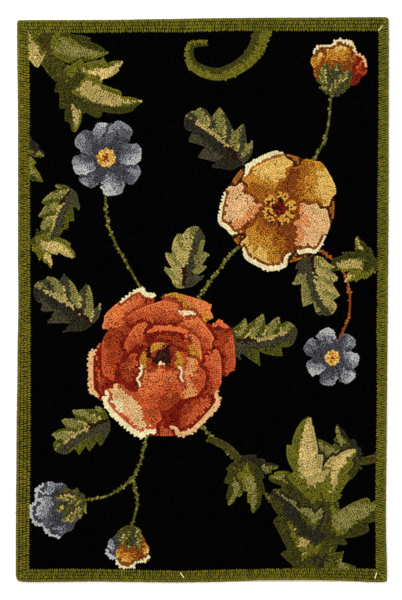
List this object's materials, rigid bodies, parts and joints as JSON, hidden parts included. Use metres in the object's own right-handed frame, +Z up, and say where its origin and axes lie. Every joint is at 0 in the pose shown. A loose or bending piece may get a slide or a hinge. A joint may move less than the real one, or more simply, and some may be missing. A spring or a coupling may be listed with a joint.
{
  "type": "hooked rug",
  "caption": "Flat rectangular rug of looped wool yarn on cotton canvas, olive border round a black floral ground, with a thin cotton backing cloth.",
  "frame": {"origin": "middle of the underside, on the surface that the rug lies on", "axes": "+X across the rug, +Y along its length towards the top of the design, +Z up out of the pile"},
  "size_m": [0.61, 0.924, 0.008],
  "materials": {
    "wool_loops": "matte looped wool yarn, black ground with olive border and many-coloured flowers",
    "cotton_backing": "plain-woven undyed cotton, matte"
  },
  "bodies": {
    "root": {"hooked_face": "wool_loops", "backing_cloth": "cotton_backing"}
  },
  "joints": []
}
